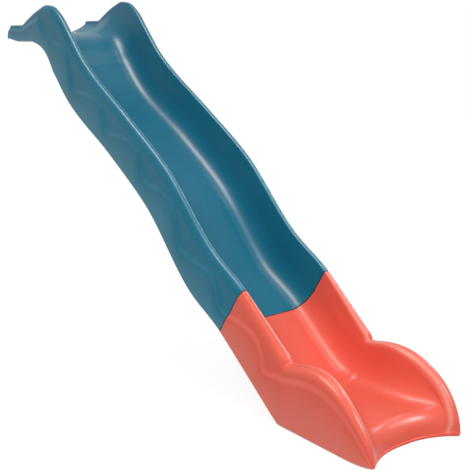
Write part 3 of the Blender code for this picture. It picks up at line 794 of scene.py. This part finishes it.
def plastic(name, colour, pale, deep):
    """Moulded polyethylene: a soft sheen, faint clouds in its colour, fine grain, light scuffs and
    painted light.
    """
    recipe = Recipe(name)
    place = recipe.node("TexCoord", output="Object")
    strip = recipe.node("TexCoord", output="UV")
    clouds = recipe.noise(place, CLOUD_SCALE, 3.0)
    specks = recipe.noise(place, SPECK_SCALE, 2.0)
    lanes = recipe.node("Mapping", {}, {"Vector": strip, "Scale": SCUFF_SCALE})
    scuffs = recipe.between(recipe.noise(lanes, 1.0, 4.0, 0.65), 0.60, 0.78)
    tone = recipe.between(clouds * (1 - SPECK_SHARE) + specks * SPECK_SHARE, 0.30, 0.70)
    step, crest, base, seam = (recipe.mark(mark) for mark in ("step", "crest", "base", "seam"))
    shade = recipe.blend(tone, deep, colour)
    # The scuffs are wear; the step, the crest and the base edge are drawn paler as a painted highlight
    wear_and_highlight = scuffs * SCUFF_PALE + step * STEP_HIGHLIGHT + crest * CREST_HIGHLIGHT + base * BASE_HIGHLIGHT
    shade = recipe.blend(wear_and_highlight, shade, pale)
    # The seam's rings are drawn near black as a painted shade
    shade = recipe.blend(seam * SEAM_SHADE_SHARE, shade, SEAM_SHADE_COLOUR)
    roughness = PLASTIC_ROUGHNESS + CLOUD_ROUGHNESS * clouds + SCUFF_ROUGHNESS * scuffs
    grain = recipe.noise(place, GRAIN_SCALE, 2.0)
    swell = recipe.noise(place, SWELL_SCALE, 1.0)
    relief = swell * SWELL_RELIEF + grain * GRAIN_RELIEF - scuffs * SCUFF_RELIEF
    bump = recipe.node("Bump", {}, {"Height": relief, "Strength": 1.0, "Distance": 1.0})
    return recipe.finish(
        Base_Color=shade, Roughness=roughness, Normal=bump, Specular_IOR_Level=PLASTIC_SPECULAR
    )


def zinc():
    """Zinc plating: bright metal with a faint spangle and small dull patches."""
    recipe = Recipe("zinc_plating")
    place = recipe.node("TexCoord", output="Object")
    spangle = recipe.node("TexVoronoi", {}, {"Vector": place, "Scale": SPANGLE_SCALE}, "Distance")
    patches = recipe.between(recipe.noise(place, PATCH_SCALE, 3.0), 0.45, 0.65)
    colour = recipe.blend(patches, BRIGHT_ZINC, DULL_ZINC)
    roughness = ZINC_ROUGHNESS + PATCH_ROUGHNESS * patches + SPANGLE_ROUGHNESS * spangle
    bump = recipe.node("Bump", {}, {"Height": spangle * SPANGLE_RELIEF, "Distance": 1.0})
    return recipe.finish(Base_Color=colour, Roughness=roughness, Normal=bump, Metallic=1.0)


# The studio


def seen_share(tree):
    """1 for what the camera sees straight, in a mirror or through glass, 0 for light on the slide."""
    rays = tree.nodes.new("ShaderNodeLightPath")
    seen = rays.outputs["Is Camera Ray"]
    for other in ("Is Glossy Ray", "Is Transmission Ray"):
        either = tree.nodes.new("ShaderNodeMath")
        either.operation = "MAXIMUM"
        tree.links.new(seen, either.inputs[0])
        tree.links.new(rays.outputs[other], either.inputs[1])
        seen = either.outputs[0]
    return seen


def add_floor():
    """A pale floor that shows as white to the camera and keeps the slide's shadow."""
    bpy.ops.object.select_all(action="DESELECT")
    bpy.ops.mesh.primitive_plane_add(size=FLOOR_SIZE)
    floor = bpy.context.object
    floor.name = "studio_floor"
    material = bpy.data.materials.new("studio_floor")
    material.use_nodes = True
    tree = material.node_tree
    shader = tree.nodes["Principled BSDF"]
    shader.inputs["Base Color"].default_value = (FLOOR_GREY, FLOOR_GREY, FLOOR_GREY, 1.0)
    shader.inputs["Roughness"].default_value = FLOOR_ROUGHNESS
    shader.inputs["Specular IOR Level"].default_value = 0.0
    glow = tree.nodes.new("ShaderNodeMath")
    glow.operation = "MULTIPLY"
    glow.inputs[1].default_value = FLOOR_GLOW
    tree.links.new(seen_share(tree), glow.inputs[0])
    tree.links.new(glow.outputs[0], shader.inputs["Emission Strength"])
    shader.inputs["Emission Color"].default_value = (1.0, 1.0, 1.0, 1.0)
    floor.data.materials.append(material)


def add_lamp(name, place, size, power, light=True, sheen=True, colour=(1.0, 1.0, 1.0)):
    """A soft box that looks at the slide. It can be left out of its light, or out of its sheen."""
    data = bpy.data.lights.new(name, "AREA")
    data.shape = "RECTANGLE"
    data.size, data.size_y = size
    data.energy = power
    data.color = colour
    lamp = bpy.data.objects.new(name, data)
    bpy.context.scene.collection.objects.link(lamp)
    lamp.location = place
    lamp.rotation_euler = (Vector(LIT_POINT) - Vector(place)).to_track_quat("-Z", "Y").to_euler()
    lamp.visible_diffuse = light
    lamp.visible_glossy = sheen


def add_sky():
    """An even pale surround that shows as white."""
    world = bpy.data.worlds.new("studio")
    bpy.context.scene.world = world
    world.use_nodes = True
    tree = world.node_tree
    background = tree.nodes["Background"]
    background.inputs["Color"].default_value = (1.0, 1.0, 1.0, 1.0)
    strength = tree.nodes.new("ShaderNodeMapRange")
    strength.inputs["To Min"].default_value = SKY_LIGHT
    strength.inputs["To Max"].default_value = 1.0
    tree.links.new(seen_share(tree), strength.inputs["Value"])
    tree.links.new(strength.outputs[0], background.inputs["Strength"])


bpy.context.scene.view_settings.view_transform = "Standard"
add_camera()
add_floor()
add_sky()

# The boxes that light the slide and aren't seen in its sheen
add_lamp("camera_box", (-3.4, -3.4, 3.4), (1.5, 1.5), 78.0, sheen=False)
add_lamp("front_box", (0.4, -5.0, 3.0), (1.5, 1.5), 42.0, sheen=False)
add_lamp("over_box", (0.7, -0.5, 4.4), (0.9, 0.9), 14.0, sheen=False)

# The boxes that are seen in its sheen and don't light it
add_lamp("left_sheen", (-1.6, 0.2, 4.2), (2.8, 0.9), 500.0, light=False, colour=(1.0, 0.80, 0.70))
add_lamp("over_sheen", (0.7, -0.5, 4.4), (0.9, 0.9), 75.0, light=False)
add_lamp("front_sheen", (2.7, -5.0, 4.2), (1.2, 1.2), 800.0, light=False)
add_lamp("right_sheen", (5.1, -0.66, 4.2), (1.5, 1.5), 220.0, light=False)

add_upper_chute(plastic("blue_polyethylene", BLUE, PALE_BLUE, DEEP_BLUE))
add_lower_chute(plastic("red_polyethylene", RED, PALE_RED, DEEP_RED))

plating = zinc()
for name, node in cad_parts.items():
    if name not in ("upper_chute", "lower_chute"):
        node.data.materials.clear()
        node.data.materials.append(plating)
